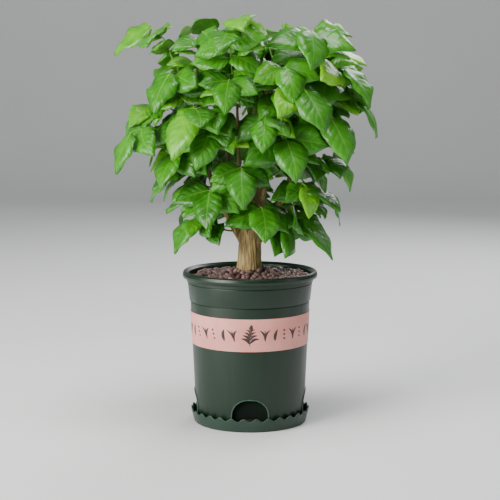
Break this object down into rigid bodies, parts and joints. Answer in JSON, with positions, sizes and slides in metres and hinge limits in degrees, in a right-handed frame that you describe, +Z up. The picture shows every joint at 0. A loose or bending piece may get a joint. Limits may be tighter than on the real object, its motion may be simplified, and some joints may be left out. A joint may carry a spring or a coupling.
{
  "type": "potted china doll plant",
  "caption": "China doll plant with a stout trunk and a dense leafy crown, in a tall nursery pot on a wavy-edged saucer.",
  "frame": {"origin": "centre of the saucer's flat underside, on the axis of the pot", "axes": "+Z up along the pot's axis, -Y towards the front, +X to the right of someone facing the front"},
  "size_m": [0.333, 0.2715, 0.5135],
  "materials": {
    "pot_plastic": "satin",
    "saucer_plastic": "satin",
    "band_print": "matte",
    "bark": "matte",
    "potting_soil": "matte",
    "fired_clay": "matte",
    "leaf_blade": "gloss"
  },
  "bodies": {
    "root": {"saucer": "saucer_plastic", "pot": "pot_plastic", "label_band": "band_print", "trunk_and_shoots": "bark", "soil": "potting_soil", "clay_pebbles": "fired_clay", "leaf_01": "leaf_blade", "leaf_02": "leaf_blade", "leaf_03": "leaf_blade", "leaf_04": "leaf_blade", "leaf_05": "leaf_blade", "leaf_06": "leaf_blade", "leaf_07": "leaf_blade", "leaf_08": "leaf_blade", "leaf_09": "leaf_blade", "leaf_10": "leaf_blade", "leaf_11": "leaf_blade", "leaf_12": "leaf_blade", "leaf_13": "leaf_blade", "leaf_14": "leaf_blade", "leaf_15": "leaf_blade", "leaf_16": "leaf_blade", "leaf_17": "leaf_blade", "leaf_18": "leaf_blade", "leaf_19": "leaf_blade", "leaf_20": "leaf_blade", "leaf_21": "leaf_blade", "leaf_22": "leaf_blade", "leaf_23": "leaf_blade", "leaf_24": "leaf_blade", "leaf_25": "leaf_blade", "leaf_26": "leaf_blade", "leaf_27": "leaf_blade", "leaf_28": "leaf_blade", "leaf_29": "leaf_blade", "leaf_30": "leaf_blade", "leaf_31": "leaf_blade", "leaf_32": "leaf_blade", "leaf_33": "leaf_blade", "leaf_34": "leaf_blade", "leaf_35": "leaf_blade", "leaf_36": "leaf_blade", "leaf_37": "leaf_blade", "leaf_38": "leaf_blade", "leaf_39": "leaf_blade", "leaf_40": "leaf_blade", "leaf_41": "leaf_blade", "leaf_42": "leaf_blade", "leaf_43": "leaf_blade", "leaf_44": "leaf_blade", "leaf_45": "leaf_blade", "leaf_46": "leaf_blade", "leaf_47": "leaf_blade", "leaf_48": "leaf_blade", "leaf_49": "leaf_blade", "leaf_50": "leaf_blade", "leaf_51": "leaf_blade", "leaf_52": "leaf_blade", "leaf_53": "leaf_blade"}
  },
  "joints": []
}
